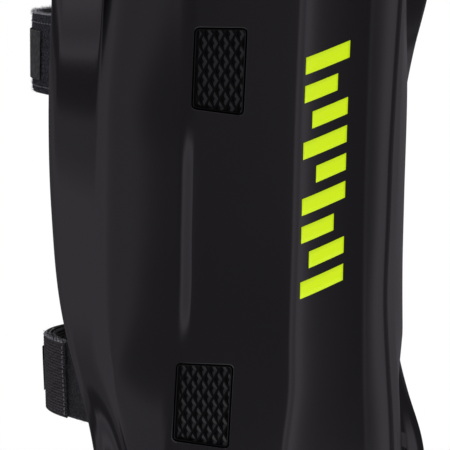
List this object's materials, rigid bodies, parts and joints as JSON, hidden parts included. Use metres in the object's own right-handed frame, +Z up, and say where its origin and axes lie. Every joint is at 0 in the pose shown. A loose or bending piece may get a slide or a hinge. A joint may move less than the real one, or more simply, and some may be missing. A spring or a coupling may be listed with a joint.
{
  "type": "ski shin guard",
  "caption": "Moulded shin guard shell, open at the back, with two patterned inserts in its left flank and straps that pass round the calf.",
  "frame": {"origin": "middle of the base of the whole object's box, on the surface that the guard stands on", "axes": "+Z up from the bottom rim to the knee cup, -Y to the front of the guard, +X to the right in a front view"},
  "size_m": [0.1762, 0.1442, 0.43],
  "materials": {
    "shell_plastic": "satin moulded black polypropylene",
    "insert_rubber": "moulded black rubber with rhombic pockets",
    "webbing": "ribbed black elastic webbing",
    "loop_tape": "fuzzy black loop tape",
    "tab_plastic": "matt dark grey tab",
    "neon_print": "neon yellow print"
  },
  "bodies": {
    "root": {"shell": "shell_plastic", "upper_insert": "insert_rubber", "lower_insert": "insert_rubber", "upper_strap": "webbing", "lower_strap": "webbing", "lower_strap_overlap": "webbing", "upper_strap_tape": "loop_tape", "lower_strap_tape": "loop_tape", "upper_strap_tab": "tab_plastic", "lower_strap_tab": "tab_plastic"}
  },
  "joints": []
}
